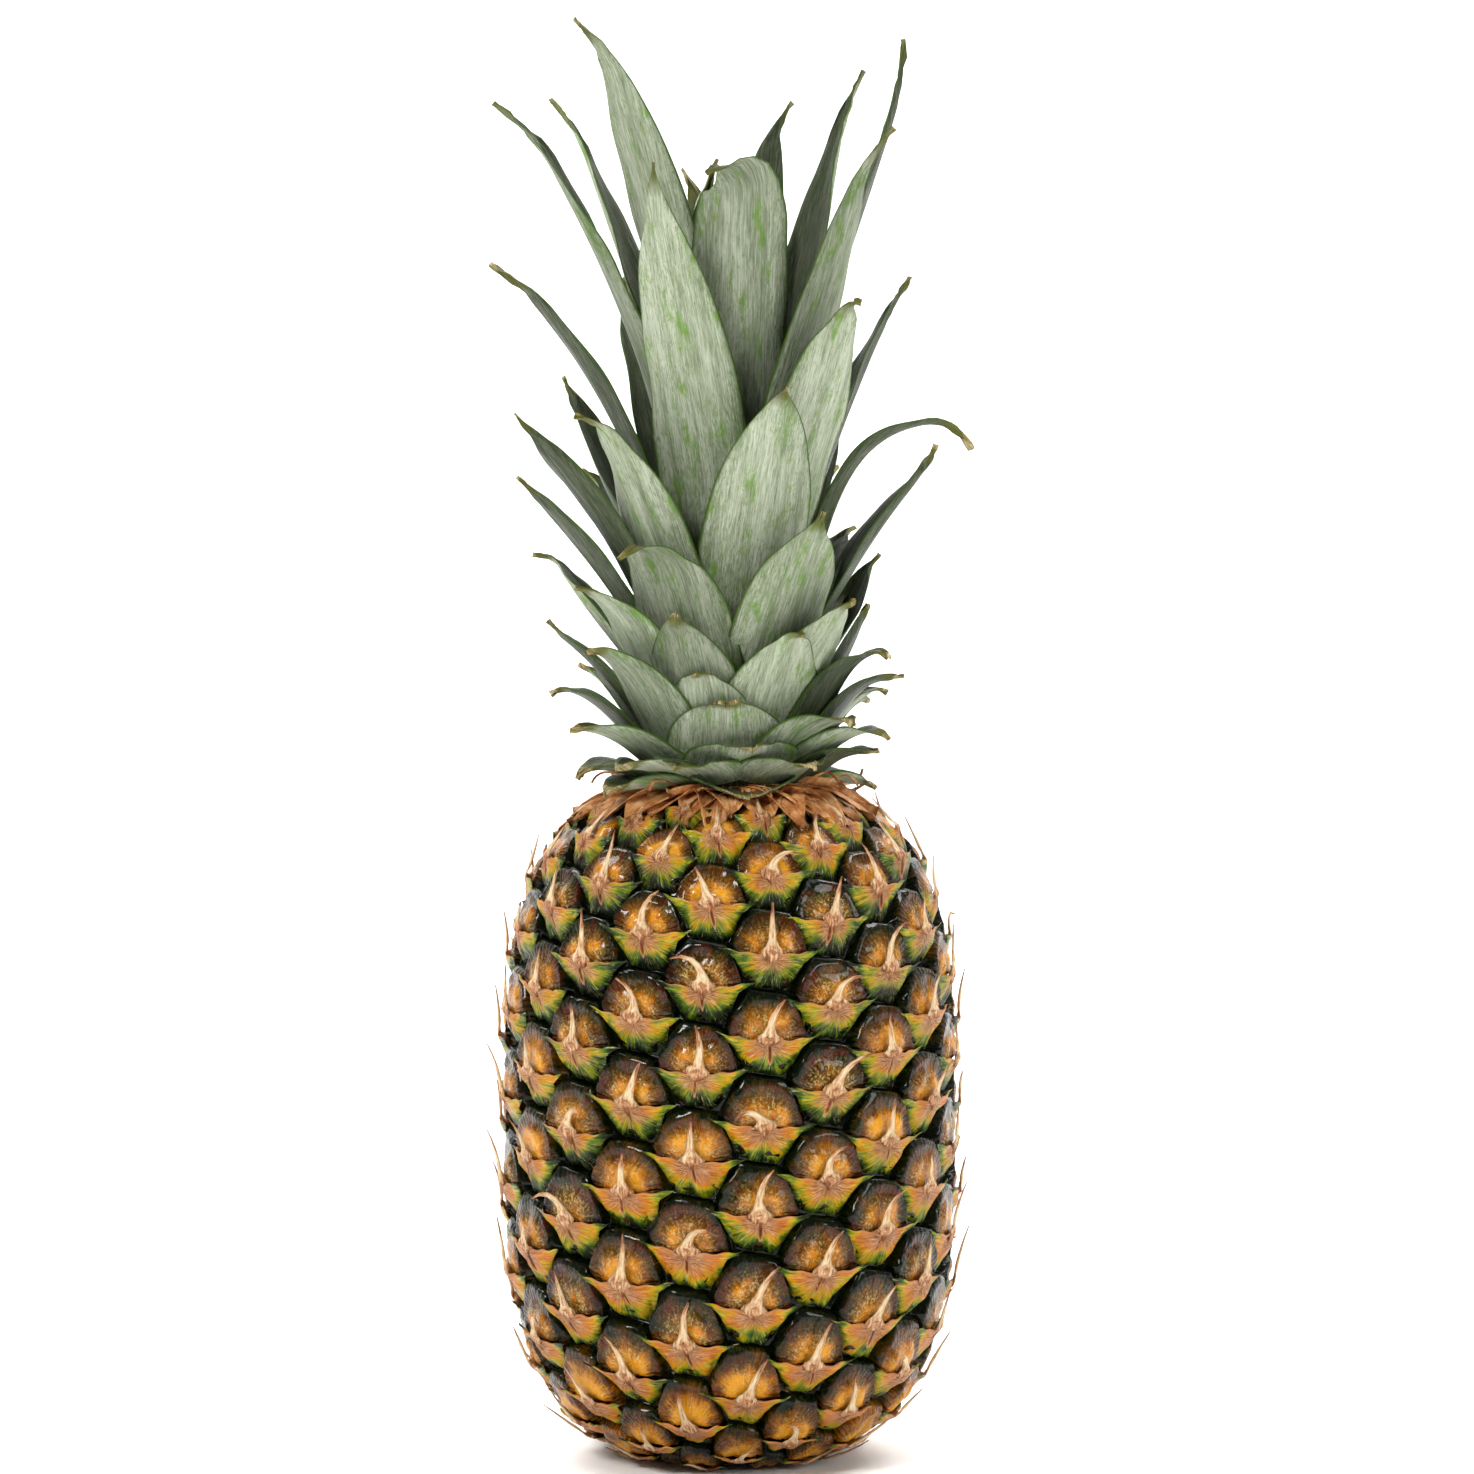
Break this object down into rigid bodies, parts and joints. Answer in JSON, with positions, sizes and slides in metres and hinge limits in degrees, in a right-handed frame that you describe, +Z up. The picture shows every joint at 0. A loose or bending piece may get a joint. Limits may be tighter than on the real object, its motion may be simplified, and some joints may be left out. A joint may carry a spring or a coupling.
{
  "type": "pineapple",
  "caption": "Whole ripe pineapple with a knobbly rind of thorned fruitlets and a tall crown of pointed leaves, standing upright on its base.",
  "frame": {"origin": "centre of the flat spot under the fruit, on the surface that it stands on", "axes": "+Z up along the fruit's axis to the crown, -Y towards the front of the picture, +X to its right"},
  "size_m": [0.1264, 0.1224, 0.3771],
  "materials": {
    "rind": "ripe golden-brown and green rind, semi-gloss",
    "heart": "grey-green leaf bases, matt",
    "leaf": "silvery grey-green leaf, matt"
  },
  "bodies": {
    "root": {"fruit": "rind", "crown_stem": "heart", "crown_leaf_01": "leaf", "crown_leaf_02": "leaf", "crown_leaf_03": "leaf", "crown_leaf_04": "leaf", "crown_leaf_05": "leaf", "crown_leaf_06": "leaf", "crown_leaf_07": "leaf", "crown_leaf_08": "leaf", "crown_leaf_09": "leaf", "crown_leaf_10": "leaf", "crown_leaf_11": "leaf", "crown_leaf_12": "leaf", "crown_leaf_13": "leaf", "crown_leaf_14": "leaf", "crown_leaf_15": "leaf", "crown_leaf_16": "leaf", "crown_leaf_17": "leaf", "crown_leaf_18": "leaf", "crown_leaf_19": "leaf", "crown_leaf_20": "leaf", "crown_leaf_21": "leaf", "crown_leaf_22": "leaf", "crown_leaf_23": "leaf", "crown_leaf_24": "leaf", "crown_leaf_25": "leaf", "crown_leaf_26": "leaf", "crown_leaf_27": "leaf", "crown_leaf_28": "leaf", "crown_leaf_29": "leaf", "crown_leaf_30": "leaf", "crown_leaf_31": "leaf", "crown_leaf_32": "leaf", "crown_leaf_33": "leaf", "crown_leaf_34": "leaf"}
  },
  "joints": []
}
